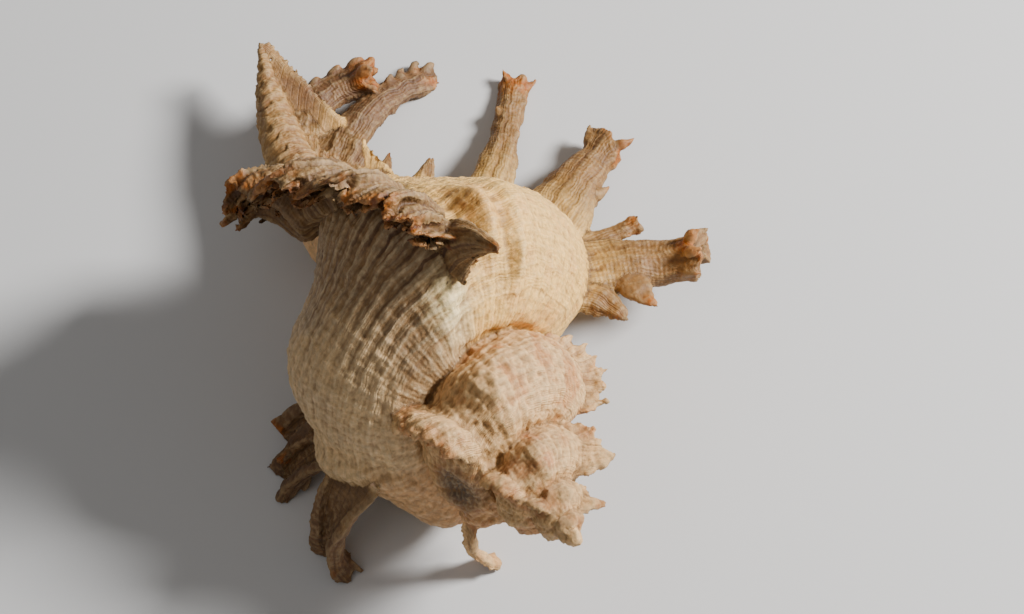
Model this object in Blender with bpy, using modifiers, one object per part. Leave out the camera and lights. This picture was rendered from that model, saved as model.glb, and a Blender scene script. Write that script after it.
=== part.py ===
"""A murex shell, one solid, resting with its aperture down.

Metres, +Z up. The coiling axis lies in the YZ plane: the apex points to -Y and is raised, and the
siphonal canal runs to +Y. The outer lip is on the +X side. Lengths below are millimetres. Those of
the coil are at lip scale, and shrink towards the apex by the same share each turn.
"""

import math

import bmesh
import bpy
import numpy as np
from mathutils import Matrix, Vector

MM = 0.001

# The coil. Growth is counted in degrees, 0 at the lip's varix and less before it.
WHORL_GROWTH = 1.80
APEX_GROWTH = -1830.0
CAVITY_GROWTH = -205.0
LIP_GROWTH = 7.0
COVERED_GROWTH = -350.0  # before this, a later whorl covers the lower part of the outline
LIP_AZIMUTH = -30.0
# Whorl outline (radius, distance from the apex along the axis), from suture to canal tip
OUTLINE = (
    (17.5, 49.5),
    (20.8, 48.6),
    (26.5, 50.5),
    (33.0, 56.5),
    (36.8, 64.0),
    (37.6, 71.0),
    (35.2, 79.5),
    (29.3, 88.0),
    (21.2, 96.0),
    (13.8, 104.0),
    (8.0, 113.0),
    (4.4, 126.0),
    (2.0, 141.0),
)
NEXT_SUTURE = 86.0
SHELL_WALL = 2.6
COLUMELLA = ((0.0, 40.0), (11.0, 48.0), (9.0, 74.0), (7.0, 96.0), (5.2, 116.0), (3.4, 130.0), (0.0, 143.0))
CANAL_BEND_START, CANAL_END = 103.0, 141.0
CANAL_BEND, CANAL_BEND_AZIMUTH = 12.0, 25.0
APEX_KNOB_RADIUS, APEX_KNOB_STATION = 1.8, 2.7

# Varices, by growth, and how high their ridges stand. A ridge rises slowly and drops at its front.
VARICES = (0.0, -105.0, -212.0, -367.0, -507.0, -602.0, -737.0, -868.0, -962.0, -1085.0, -1215.0, -1320.0)
RIDGE_HEIGHTS = (4.0, 8.0, 5.0, 3.5, 6.0, 6.0, 4.0, 6.0, 4.0, 4.0, 5.0, 4.0)
RIDGE_BACK, RIDGE_FRONT = 20.0, 5.5
# A varix isn't quite in line with the axis: (station, growth to add)
SLANT = ((48.0, -4.0), (56.0, 12.0), (66.0, 10.0), (80.0, 0.0), (100.0, -12.0), (142.0, -12.0))
# Folds between the varices, and one hollow: growth, station, height, spread in growth, spread in station
NODES = (
    (-62.0, 66.0, 3.0, 11.0, 10.0),
    (-50.0, 87.0, -2.2, 22.0, 13.0),
    (-172.0, 82.0, 4.0, 24.0, 14.0),
    (-250.0, 55.0, 8.5, 22.0, 6.0),
    (-463.0, 62.0, 4.5, 13.0, 11.0),
    (-555.0, 64.0, 4.0, 14.0, 10.0),
    (-670.0, 63.0, 3.0, 13.0, 9.0),
    (-813.0, 62.0, 4.5, 13.0, 10.0),
    (-915.0, 63.0, 2.5, 12.0, 9.0),
    (-1025.0, 63.0, 3.0, 12.0, 9.0),
    (-1150.0, 63.0, 3.0, 12.0, 9.0),
    (-1268.0, 63.0, 3.0, 12.0, 9.0),
)

# How the shell rests: the apex end's rise and the azimuth that faces up, in degrees
AXIS_RISE = 12.0
TOP_AZIMUTH = 72.4
FOOT_LEVEL = -34.3  # height at which the resting fronds are worn flat, the apex being at 0

# Fronds of each varix: station along the axis at lip scale, length, width at the foot and at the tip,
# fan (degrees towards the apex) at foot and tip, curl (degrees back, away from the aperture) at foot and
# tip, and growth from the varix's own to the frond's foot
FRONDS = {
    0: (
        (62.0, 23.0, 17.0, 11.0, 12.0, 20.0, 0.0, 5.0),
        (57.0, 14.0, 15.0, 3.0, 32.0, 80.0, 0.0, 5.0),
        (67.0, 14.0, 8.0, 4.0, -8.0, 8.0, 0.0, 10.0),
        (75.0, 26.0, 18.0, 7.5, -38.0, -26.0, 0.0, 8.0),
        (88.0, 33.5, 11.0, 6.0, -45.0, -54.0, 0.0, 5.0),
        (97.5, 5.5, 6.0, 2.5, -45.0, -45.0, 0.0, 10.0),
        (103.0, 5.0, 6.0, 2.5, -45.0, -45.0, 0.0, 20.0),
        (111.0, 34.0, 12.0, 7.0, -40.0, -12.0, 12.0, -28.0),
        (119.0, 23.0, 12.0, 8.0, -72.0, 35.0, 0.0, 20.0),
    ),
    1: (
        (56.0, 13.0, 12.0, 4.0, 10.0, 75.0, -10.0, 0.0),
        (65.0, 15.0, 17.0, 15.0, 15.0, 20.0, 0.0, 85.0),
        (77.0, 17.0, 18.0, 16.0, 0.0, 0.0, 0.0, 90.0),
        (89.0, 18.0, 16.0, 14.0, -15.0, -15.0, 0.0, 90.0),
        (101.0, 20.5, 16.0, 15.0, -38.0, -50.0, 25.0, 85.0),
        (95.0, 14.0, 16.0, 10.0, -30.0, -30.0, 0.0, 45.0, -12.0),
        (92.0, 10.0, 15.0, 8.0, -30.0, -30.0, 10.0, 40.0, -20.0),
    ),
    2: (
        (60.0, 23.5, 17.0, 9.0, 12.0, 0.0, 30.0, 105.0),
        (81.0, 17.0, 14.0, 9.0, -18.0, -16.0, 18.0, 50.0),
        (89.0, 12.0, 12.0, 9.0, -21.0, -18.0, 0.0, 30.0),
        (100.0, 12.0, 10.0, 6.0, -35.0, -45.0, 10.0, 50.0),
    ),
    3: (
        (66.0, 5.0, 10.0, 8.0, 7.0, 12.0, 0.0, 5.0),
        (76.0, 6.0, 6.0, 5.0, -12.0, -13.0, 0.0, 5.0),
    ),
    4: (
        (58.0, 5.0, 8.0, 7.0, 10.0, 10.0, 0.0, 60.0),
        (68.0, 6.0, 8.0, 7.0, 0.0, 0.0, 0.0, 60.0),
        (78.0, 6.0, 8.0, 5.0, -10.0, -10.0, 0.0, 60.0),
    ),
    5: ((62.0, 20.5, 6.0, 4.0, -20.0, 20.0, 30.0, 100.0),),
    6: ((60.0, 5.5, 8.0, 3.0, 20.0, 30.0, 0.0, 5.0),),
    9: ((60.0, 4.0, 5.0, 2.5, 20.0, 30.0, 0.0, 5.0),),
}
FROND_WALL = 1.9

TURN_STEP = 7.5
OUTLINE_POINTS = 36
VOXEL = 0.91
TRIANGLES = 9400


def smooth_line(points, count):
    """count points, evenly spaced along a smooth curve through the given ones."""
    p = np.array(points, float)
    p = np.vstack([2 * p[0] - p[1], p, 2 * p[-1] - p[-2]])
    fine = []
    for i in range(1, len(p) - 2):
        for w in np.linspace(0, 1, 24, endpoint=False):
            b = p[i + 1] - p[i - 1]
            c = 2 * p[i - 1] - 5 * p[i] + 4 * p[i + 1] - p[i + 2]
            d = -p[i - 1] + 3 * p[i] - 3 * p[i + 1] + p[i + 2]
            fine.append(p[i] + 0.5 * (b * w + c * w**2 + d * w**3))
    fine.append(p[-2])
    fine = np.array(fine)
    along = np.r_[0, np.cumsum(np.linalg.norm(np.diff(fine, axis=0), axis=1))]
    at = np.linspace(0, along[-1], count)
    return np.stack([np.interp(at, along, fine[:, k]) for k in range(fine.shape[1])], 1)


def size_at(growth):
    return WHORL_GROWTH ** (growth / 360.0)


def azimuth_at(growth):
    return LIP_AZIMUTH - growth


def outward(azimuth):
    """Unit vector away from the axis, in the shell's frame, whose +Z points to the apex."""
    a = math.radians(azimuth)
    return np.array([math.cos(a), math.sin(a), 0.0])


def in_space(line, azimuth):
    """(radius, station) points in the half plane at this azimuth, as 3-D points with the canal bent."""
    line = np.asarray(line, float)
    past = np.clip((line[:, 1] - CANAL_BEND_START) / (CANAL_END - CANAL_BEND_START), 0, None)
    bend = CANAL_BEND * past**2
    points = line[:, :1] * outward(azimuth) + bend[:, None] * outward(CANAL_BEND_AZIMUTH)
    points[:, 2] -= line[:, 1]
    return points


def slant(varix, stations):
    """Growth to add to a varix at these stations. The lip's own varix is straight."""
    return np.interp(stations, *zip(*SLANT)) * (varix > 0)


def relief(growth, stations):
    """How far ridges and nodes raise the whorl there, at lip scale."""
    raised = np.zeros(len(stations))
    along = np.interp(stations, (48, 58, 68, 90, 105, 142), (0.1, 0.7, 1.0, 1.0, 0.5, 0.1))
    for k, (at, height) in enumerate(zip(VARICES, RIDGE_HEIGHTS)):
        gap = growth - at - slant(k, stations)
        spread = np.where(gap < 0, RIDGE_BACK, RIDGE_FRONT)
        covered = 1.0 if at > COVERED_GROWTH else np.clip((NEXT_SUTURE + 2 - stations) / 6, 0, 1)
        raised += height * np.exp(-((gap / spread) ** 2)) * along * covered
    for at, station, height, length, spread in NODES:
        near = np.exp(-(((stations - station) / spread) ** 2))
        raised += height * math.exp(-(((growth - at) / length) ** 2)) * near
    return raised


def outline_at(growth, count=OUTLINE_POINTS, inset=0.0):
    """The whorl's outline at this growth, (radius, station) in mm, moved inwards by inset."""
    line = smooth_line(OUTLINE, count)
    along = np.gradient(line, axis=0)
    normal = np.stack([along[:, 1], -along[:, 0]], 1)
    normal /= np.linalg.norm(normal, axis=1)[:, None]
    raised = relief(growth, line[:, 1])
    out = (line + normal * raised[:, None]) * size_at(growth)
    out -= normal * inset
    out[:, 0] = np.maximum(out[:, 0], 0.0)
    return out


def new_mesh(name, points, faces):
    mesh = bpy.data.meshes.new(name)
    mesh.from_pydata([tuple(p) for p in points], [], faces)
    mesh.update()
    return mesh


def loft(rings):
    """A closed mesh through closed rings of equal size, with fan caps. Points, faces."""
    n = len(rings[0])
    points = np.concatenate(rings + [[rings[0].mean(0)], [rings[-1].mean(0)]])
    first, last = len(points) - 2, len(points) - 1
    faces = []
    for i in range(len(rings) - 1):
        for j in range(n):
            a, b = i * n + j, i * n + (j + 1) % n
            faces.append((a, b, b + n, a + n))
    end = (len(rings) - 1) * n
    for j in range(n):
        k = (j + 1) % n
        faces.append((first, k, j))
        faces.append((last, end + j, end + k))
    return points, faces


def whorls():
    """The coil up to where the hollow begins, each section filled to the axis."""
    rings = []
    for growth in np.arange(APEX_GROWTH, CAVITY_GROWTH + 0.1, TURN_STEP):
        line = outline_at(growth)
        back = np.array([[0.0, line[-1, 1]], [0.0, line[0, 1] + 0.3 * (line[-1, 1] - line[0, 1])], [0.0, line[0, 1]]])
        rings.append(in_space(np.vstack([line, back]), azimuth_at(growth)))
    return loft(rings)


def last_wall():
    """The hollow part of the last whorl: a wall from the suture to the canal."""
    rings = []
    for growth in np.linspace(CAVITY_GROWTH - 6, LIP_GROWTH, 32):
        outer = outline_at(growth)
        inner = outline_at(growth, inset=SHELL_WALL)[::-1]
        rings.append(in_space(np.vstack([outer, inner]), azimuth_at(growth)))
    return loft(rings)


def columella():
    """The turned pillar that the whorls coil round."""
    profile = smooth_line(COLUMELLA, 12)
    sides = 16
    rings = []
    for r, s in profile:
        rings.append(np.vstack([in_space([(max(r, 0.05), s)], -360.0 * k / sides) for k in range(sides)]))
    return loft(rings)


def frond_line(varix, spec, count):
    """Centre points of a frond, and at each its direction, its width's direction and its front."""
    station, length, _, _, fan0, fan1, curl0, curl1, *shift = spec
    growth = VARICES[varix] + slant(varix, station) + sum(shift)
    azimuth = azimuth_at(growth)
    line = outline_at(growth, 200)
    size = size_at(growth)
    at = int(np.argmin(np.abs(line[:, 1] - station * size)))
    foot = in_space(line[at : at + 1], azimuth)[0]
    away, older, apex = outward(azimuth), outward(azimuth + 90), np.array([0, 0, 1.0])
    points, frames = [], []
    step = length / (count - 1)
    here = foot - away * 3.0
    for v in np.linspace(0, 1, count):
        fan = math.radians(fan0 + (fan1 - fan0) * v)
        curl = math.radians(curl0 + (curl1 - curl0) * v**1.5)
        flat = math.cos(fan) * away + math.sin(fan) * apex
        ahead = math.cos(curl) * flat + math.sin(curl) * older
        side = -math.sin(fan) * away + math.cos(fan) * apex
        front = -math.cos(curl) * older + math.sin(curl) * flat
        points.append(here)
        frames.append((ahead, side, front))
        here = here + ahead * (step + (3.0 / (count - 1)))
    return np.array(points), frames


def frond(varix, spec, count=12, around=9):
    """A hollow frond, rolled like a leaf and open towards the front."""
    width0, width1 = spec[2], spec[3]
    points, frames = frond_line(varix, spec, count)
    rings = []
    for i, (centre, (ahead, side, front)) in enumerate(zip(points, frames)):
        v = i / (count - 1)
        waist = width0 + (width1 - width0) * min(1, v / 0.55)
        flare = 1 + 0.25 * max(0, (v - 0.7) / 0.3) ** 2
        half = 0.5 * waist * flare
        deep = half * (0.35 + 0.4 * min(1, v * 2))
        wall = FROND_WALL * (1.25 - 0.4 * v)
        spread = math.radians(75 + 45 * min(1, v * 1.6))
        angles = np.linspace(-spread, spread, around)
        outer = [centre + side * half * math.sin(a) - front * deep * math.cos(a) for a in angles]
        inner = [
            centre + side * max(half - wall, 0.1) * math.sin(a) - front * (deep - wall) * math.cos(a)
            for a in angles[::-1]
        ]
        rings.append(np.array(outer + inner))
    return loft(rings)


def to_world():
    """From the shell's frame to the resting one."""
    rise, top = math.radians(AXIS_RISE), math.radians(TOP_AZIMUTH)
    up = Vector((0, math.sin(rise), math.cos(rise)))
    apex = Vector((0, -math.cos(rise), math.sin(rise)))
    side = Vector((-1, 0, 0))
    zero = math.cos(top) * up - math.sin(top) * side
    ninety = math.sin(top) * up + math.cos(top) * side
    return Matrix((zero, ninety, apex)).transposed().to_4x4()


def apex_knob():
    """The rounded first whorl."""
    ball = bmesh.new()
    bmesh.ops.create_icosphere(ball, subdivisions=2, radius=APEX_KNOB_RADIUS)
    points = np.array([v.co for v in ball.verts]) - (0, 0, APEX_KNOB_STATION)
    faces = [tuple(v.index for v in face.verts) for face in ball.faces]
    ball.free()
    return points, faces


def modified(shell, kind, **settings):
    """The object's mesh replaced by what one modifier makes of it."""
    modifier = shell.modifiers.new(kind.title(), kind)
    for key, value in settings.items():
        setattr(modifier, key, value)
    mesh = bpy.data.meshes.new_from_object(shell.evaluated_get(bpy.context.evaluated_depsgraph_get()))
    shell.modifiers.clear()
    old = shell.data
    shell.data = mesh
    bpy.data.meshes.remove(old)


def drop_crumbs(solid):
    """Leaves only the largest connected piece."""
    pieces, seen = [], set()
    for start in solid.verts:
        if start in seen:
            continue
        piece, waiting = [], [start]
        seen.add(start)
        while waiting:
            vertex = waiting.pop()
            piece.append(vertex)
            for edge in vertex.link_edges:
                other = edge.other_vert(vertex)
                if other not in seen:
                    seen.add(other)
                    waiting.append(other)
        pieces.append(piece)
    pieces.sort(key=len)
    for piece in pieces[:-1]:
        bmesh.ops.delete(solid, geom=piece, context="VERTS")


def worn_flat(mesh):
    """Wears the lowest tips to one level and puts the origin under the middle of the solid."""
    solid = bmesh.new()
    solid.from_mesh(mesh)
    everything = solid.verts[:] + solid.edges[:] + solid.faces[:]
    level = Vector((0, 0, FOOT_LEVEL * MM))
    cut = bmesh.ops.bisect_plane(solid, geom=everything, plane_co=level, plane_no=(0, 0, -1), clear_outer=True)
    edges = [e for e in cut["geom_cut"] if isinstance(e, bmesh.types.BMEdge)]
    bmesh.ops.contextual_create(solid, geom=edges)
    bmesh.ops.triangulate(solid, faces=solid.faces[:])
    drop_crumbs(solid)
    low = [min(v.co[k] for v in solid.verts) for k in range(3)]
    high = [max(v.co[k] for v in solid.verts) for k in range(3)]
    middle = Vector(((low[0] + high[0]) / 2, (low[1] + high[1]) / 2, low[2]))
    bmesh.ops.translate(solid, verts=solid.verts, vec=-middle)
    solid.to_mesh(mesh)
    solid.free()
    mesh["moved"] = tuple(-middle)


def chalky():
    """Pale, matt shell."""
    material = bpy.data.materials.new("chalky_shell")
    material.use_nodes = True
    surface = material.node_tree.nodes["Principled BSDF"]
    surface.inputs["Base Color"].default_value = (0.66, 0.56, 0.43, 1.0)
    surface.inputs["Roughness"].default_value = 0.7
    material.diffuse_color = (0.66, 0.56, 0.43, 1.0)
    return material


def main():
    for old in list(bpy.data.objects):
        bpy.data.objects.remove(old)
    parts = [whorls(), last_wall(), columella(), apex_knob()]
    for varix, specs in FRONDS.items():
        parts += [frond(varix, spec) for spec in specs]
    points, faces, start = [], [], 0
    for p, f in parts:
        points.append(p)
        faces += [tuple(start + i for i in face) for face in f]
        start += len(p)
    mesh = new_mesh("murex_shell", np.concatenate(points) * MM, faces)
    mesh.transform(to_world())
    shell = bpy.data.objects.new("murex_shell", mesh)
    group = bpy.data.collections.new("murex_shell")
    bpy.context.scene.collection.children.link(group)
    group.objects.link(shell)
    modified(shell, "REMESH", mode="VOXEL", voxel_size=VOXEL * MM)
    modified(shell, "DECIMATE", ratio=0.5 * TRIANGLES / len(shell.data.polygons))
    worn_flat(shell.data)
    shell.data.materials.append(chalky())
    return shell


main()
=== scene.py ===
"""The look of a murex shell that rests with its aperture down: frilled crests, hollow fronds, cords."""

import math

import bmesh
import bpy
import numpy as np
from mathutils import Matrix, Vector
from mathutils.bvhtree import BVHTree


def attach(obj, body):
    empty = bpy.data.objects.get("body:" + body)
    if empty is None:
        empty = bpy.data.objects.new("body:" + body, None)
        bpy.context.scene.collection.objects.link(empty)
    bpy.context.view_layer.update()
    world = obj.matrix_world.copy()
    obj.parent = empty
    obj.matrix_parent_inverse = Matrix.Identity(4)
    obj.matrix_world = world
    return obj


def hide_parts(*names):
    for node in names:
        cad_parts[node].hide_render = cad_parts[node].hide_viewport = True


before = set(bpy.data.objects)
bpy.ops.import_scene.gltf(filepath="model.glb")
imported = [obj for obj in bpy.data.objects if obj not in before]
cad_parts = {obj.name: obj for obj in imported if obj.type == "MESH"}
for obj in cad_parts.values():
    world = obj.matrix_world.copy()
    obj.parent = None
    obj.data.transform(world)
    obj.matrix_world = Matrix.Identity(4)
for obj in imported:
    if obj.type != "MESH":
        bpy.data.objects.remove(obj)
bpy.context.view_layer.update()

MM = 0.001

# The coil. Growth is counted in degrees, 0 at the lip's varix and less before it. Lengths are
# millimetres, and those of the coil are at lip scale: they shrink towards the apex.
WHORL_GROWTH = 1.80
APEX_GROWTH = -1830.0
CAVITY_GROWTH = -205.0
LIP_GROWTH = 7.0
COVERED_GROWTH = -350.0
LIP_AZIMUTH = -30.0
OUTLINE = (
    (17.5, 49.5),
    (20.8, 48.6),
    (26.5, 50.5),
    (33.0, 56.5),
    (36.8, 64.0),
    (37.6, 71.0),
    (35.2, 79.5),
    (29.3, 88.0),
    (21.2, 96.0),
    (13.8, 104.0),
    (8.0, 113.0),
    (4.4, 126.0),
    (2.0, 141.0),
)
NEXT_SUTURE = 86.0
SHELL_WALL = 2.4
COLUMELLA = (
    (0.0, 40.0),
    (11.0, 48.0),
    (9.0, 74.0),
    (7.0, 96.0),
    (5.2, 116.0),
    (3.4, 130.0),
    (0.0, 143.0),
)
CANAL_BEND_START, CANAL_END = 103.0, 141.0
CANAL_BEND, CANAL_BEND_AZIMUTH = 12.0, 25.0
APEX_KNOB_RADIUS, APEX_KNOB_STATION = 1.8, 2.7

VARICES = (0.0, -105.0, -212.0, -367.0, -507.0, -602.0, -737.0, -868.0, -962.0, -1085.0, -1215.0, -1320.0)
RIDGE_HEIGHTS = (4.0, 8.0, 5.0, 3.5, 6.0, 6.0, 4.0, 6.0, 4.0, 4.0, 5.0, 4.0)
RIDGE_BACK, RIDGE_FRONT = 20.0, 5.5
SLANT = ((48.0, -4.0), (56.0, 12.0), (66.0, 10.0), (80.0, 0.0), (100.0, -12.0), (142.0, -12.0))
# Folds and dents between the varices: growth, station, height, spread in growth, spread in station
NODES = (
    (-60.0, 66.0, 3.6, 9.0, 9.0),
    (-74.0, 66.0, 4.6, 4.0, 8.0),
    (-64.0, 56.0, 3.0, 3.5, 5.0),
    (-50.0, 87.0, -2.2, 22.0, 13.0),
    (-172.0, 82.0, 4.0, 24.0, 14.0),
    (-250.0, 55.0, 8.5, 22.0, 6.0),
    (-463.0, 62.0, 4.5, 13.0, 11.0),
    (-548.0, 58.0, -6.0, 16.0, 8.0),
    (-670.0, 63.0, 3.0, 13.0, 9.0),
    (-813.0, 62.0, 4.5, 13.0, 10.0),
    (-915.0, 63.0, 2.5, 12.0, 9.0),
    (-1025.0, 63.0, 3.0, 12.0, 9.0),
    (-1150.0, 63.0, 3.0, 12.0, 9.0),
    (-1268.0, 63.0, 3.0, 12.0, 9.0),
)

# The resting place: rise of the apex end, azimuth that faces up, and where the apex lies
AXIS_RISE, TOP_AZIMUTH = 12.0, 72.4
APEX_PLACE = (-12.374, -70.637, 34.3)

# Hollow fronds: varix, station, length, width at foot and tip, fan at foot and tip, curl at foot and tip,
# growth from the varix's own to the foot
FRONDS = (
    (0, 62.0, 23.5, 17.0, 9.5, 12.0, 35.0, -4.0, 26.0, 0.0),
    (0, 57.0, 9.5, 12.0, 1.2, 42.0, 95.0, 0.0, 5.0, 0.0),
    (0, 67.0, 14.0, 8.0, 4.0, -8.0, 8.0, 0.0, 10.0, 0.0),
    (0, 75.0, 26.0, 18.0, 7.5, -38.0, -26.0, 0.0, 8.0, 0.0),
    (0, 88.0, 33.5, 11.0, 6.0, -45.0, -54.0, 0.0, 5.0, 0.0),
    (0, 97.5, 6.0, 6.5, 0.9, -45.0, -45.0, 0.0, 10.0, 0.0),
    (0, 103.0, 5.5, 6.5, 0.9, -45.0, -45.0, 0.0, 20.0, 0.0),
    (0, 111.0, 34.0, 12.0, 7.0, -40.0, -12.0, 12.0, -28.0, 0.0),
    (0, 119.0, 23.0, 12.0, 8.0, -72.0, 35.0, 0.0, 20.0, 0.0),
    (1, 58.0, 14.5, 13.0, 1.6, 12.0, 85.0, -14.0, -10.0, 0.0),
    (2, 60.0, 23.5, 15.0, 8.5, 12.0, 0.0, 30.0, 105.0, 0.0),
    (2, 81.0, 17.0, 14.0, 9.0, -18.0, -16.0, 18.0, 50.0, 0.0),
    (2, 89.0, 12.0, 12.0, 9.0, -21.0, -18.0, 0.0, 30.0, 0.0),
    (2, 100.0, 12.0, 10.0, 6.0, -35.0, -45.0, 10.0, 50.0, 0.0),
    (5, 62.0, 20.5, 6.0, 4.0, -20.0, 20.0, 30.0, 100.0, 0.0),
    (6, 60.0, 5.8, 9.0, 1.4, 18.0, 26.0, 0.0, 5.0, 0.0),
    (9, 60.0, 4.0, 6.0, 1.2, 18.0, 26.0, 0.0, 5.0, 0.0),
)

# Spurs on the fronds: frond, share of its length, degrees round it from its back (90 is the apex side),
# length, width
SPURS = (
    (0, 0.40, 88, 8.5, 10.0),
    (0, 0.86, 88, 3.8, 3.2),
    (0, 0.78, -85, 1.8, 2.2),
    (0, 0.95, -80, 2.2, 2.8),
    (0, 0.96, -20, 1.6, 2.6),
    (0, 0.95, 40, 1.6, 2.6),
    (2, 0.72, 90, 1.6, 1.8),
    (3, 0.46, 90, 3.6, 3.8),
    (3, 0.92, -85, 3.6, 3.2),
    (3, 0.97, 70, 3.4, 2.8),
    (3, 0.80, 80, 1.8, 2.4),
    (4, 0.96, 85, 3.2, 2.6),
    (4, 0.97, -50, 1.8, 2.6),
    (4, 0.80, 80, 1.6, 2.2),
    (4, 0.70, -70, 1.6, 2.4),
    (4, 0.55, 80, 1.1, 2.2),
    (7, 0.94, -10, 1.6, 2.6),
    (7, 0.88, -45, 2.2, 2.8),
    (7, 0.78, -50, 1.8, 2.6),
    (7, 0.68, -45, 1.3, 2.4),
    (8, 0.95, 30, 2.0, 2.4),
    (8, 0.86, -60, 2.0, 2.8),
    (8, 0.70, -60, 1.8, 2.8),
    (8, 0.52, -60, 1.3, 2.6),
    (10, 0.93, 60, 2.4, 2.6),
    (10, 0.93, -60, 2.4, 2.6),
    (10, 0.75, -70, 2.0, 2.6),
    (10, 0.58, -70, 2.0, 2.6),
    (10, 0.42, -70, 1.6, 2.6),
    (11, 0.60, 60, 2.0, 2.6),
    (11, 0.80, -40, 2.0, 2.6),
    (12, 0.75, -60, 2.0, 2.6),
    (13, 0.70, 60, 1.8, 2.4),
)

# Webbed crests: varix, thickness at the foot, waviness, how far their lobes stand out, then the web's
# (station, length, fan at foot and edge, curl at foot and edge), then the lobes' (station, half width)
CRESTS = (
    (
        1, 4.4, 4.0, 5.8,
        (
            (57.0, 0.8, 15.0, 40.0, 0.0, 5.0),
            (58.6, 6.0, 12.0, 40.0, -5.0, 30.0),
            (61.0, 12.0, 12.0, 25.0, 0.0, 80.0),
            (65.0, 14.0, 12.0, 16.0, 0.0, 95.0),
            (77.0, 18.0, -3.0, -3.0, 0.0, 100.0),
            (89.0, 20.0, -20.0, -22.0, 0.0, 98.0),
            (96.0, 20.0, -36.0, -42.0, 10.0, 90.0),
            (100.5, 14.0, -46.0, -52.0, 15.0, 85.0),
            (105.0, 20.0, -54.0, -64.0, 18.0, 75.0),
            (107.5, 17.0, -56.0, -66.0, 18.0, 70.0),
            (110.0, 8.0, -45.0, -60.0, 10.0, 40.0),
        ),
        ((60.0, 1.5), (64.5, 1.9), (71.0, 2.5), (80.0, 3.4), (89.5, 3.2), (96.5, 2.0), (105.0, 2.4)),
    ),
    (
        3, 2.6, 0.5, 2.0,
        (
            (53.0, 1.5, 15.0, 20.0, 0.0, 5.0),
            (60.0, 3.0, 10.0, 20.0, 0.0, 5.0),
            (66.0, 4.0, 5.0, 10.0, 0.0, 5.0),
            (72.0, 4.0, -2.0, 0.0, 0.0, 5.0),
            (78.0, 3.0, -10.0, -12.0, 0.0, 5.0),
            (84.0, 1.5, -12.0, -15.0, 0.0, 5.0),
        ),
        ((57.5, 1.3), (62.5, 1.3), (67.5, 1.5), (71.5, 1.2), (75.5, 1.3), (79.0, 1.2)),
    ),
    (
        4, 3.0, 1.3, 2.6,
        (
            (51.0, 1.5, 10.0, 10.0, 0.0, 30.0),
            (56.0, 4.2, 10.0, 10.0, 0.0, 80.0),
            (68.0, 5.2, 0.0, 0.0, 0.0, 95.0),
            (78.0, 5.4, -10.0, -12.0, 0.0, 95.0),
            (86.0, 4.6, -15.0, -20.0, 0.0, 70.0),
        ),
        ((56.0, 1.8), (61.0, 1.5), (66.0, 2.0), (72.0, 1.8), (77.5, 1.6), (82.5, 1.8)),
    ),
    (
        6, 2.2, 0.5, 1.5,
        (
            (52.0, 1.2, 15.0, 20.0, 0.0, 5.0),
            (60.0, 3.4, 10.0, 14.0, 0.0, 5.0),
            (70.0, 3.0, 0.0, 0.0, 0.0, 5.0),
            (78.0, 2.2, -8.0, -8.0, 0.0, 5.0),
            (84.0, 1.0, -10.0, -10.0, 0.0, 5.0),
        ),
        ((66.0, 1.8), (72.0, 1.6), (78.0, 1.6)),
    ),
    (
        7, 2.2, 0.8, 1.7,
        (
            (52.0, 1.2, 10.0, 10.0, 0.0, 40.0),
            (58.0, 2.8, 5.0, 5.0, 0.0, 85.0),
            (70.0, 3.2, 0.0, 0.0, 0.0, 95.0),
            (84.0, 2.0, -10.0, -10.0, 0.0, 70.0),
        ),
        ((56.0, 2.0), (62.0, 1.8), (68.0, 2.0), (74.0, 1.8), (80.0, 1.8)),
    ),
    (
        9, 1.4, 0.3, 1.0,
        (
            (54.0, 0.8, 10.0, 10.0, 0.0, 5.0),
            (62.0, 1.4, 5.0, 5.0, 0.0, 5.0),
            (80.0, 0.8, -10.0, -10.0, 0.0, 5.0),
        ),
        ((66.0, 1.8), (73.0, 1.8)),
    ),
    (
        10, 1.4, 0.3, 0.8,
        (
            (54.0, 0.8, 5.0, 5.0, 0.0, 40.0),
            (64.0, 1.8, 0.0, 0.0, 0.0, 80.0),
            (80.0, 1.0, -10.0, -10.0, 0.0, 60.0),
        ),
        ((60.0, 2.0), (67.0, 2.0), (74.0, 2.0)),
    ),
)

# The thinner sheets behind and before some crests: varix, sheet thickness, then their
# (shift in growth, share of the crest's length)
CREST_SHEETS = {
    1: (1.1, ((-2.6, 0.84), (2.4, 0.93), (4.8, 0.84), (7.2, 0.72))),
    4: (0.8, ((2.5, 0.85), (-3.0, 0.8))),
}

TURN_STEP = 3.0
WALL_RINGS = 110
OUTLINE_POINTS = 110
FROND_AROUND = 25
CREST_ROWS = 24
VOXEL = 0.46
SMOOTH_ROUNDS, SMOOTH_SHARE = 2, 0.5
FLOOR_CLEARANCE = 0.2
PIECES = 3

# Every point carries the coordinates that the surface pattern follows, in five columns: station at lip
# scale, growth, share of the way to a frond's tip, 1 on a hollow side and 0 outside, and mm along growth
CORD, ALONG = 0, 4

# Landmarks on the coil, in degrees of growth
CREST_GROWTH = VARICES[1]
RIM_HALF = 20.0
SPIRE_START = 340.0
RECESS_GROWTH, RECESS_STATION = -547.0, 58.0
PATCH_GROWTH, PATCH_STATION = -99.0, 54.0

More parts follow.
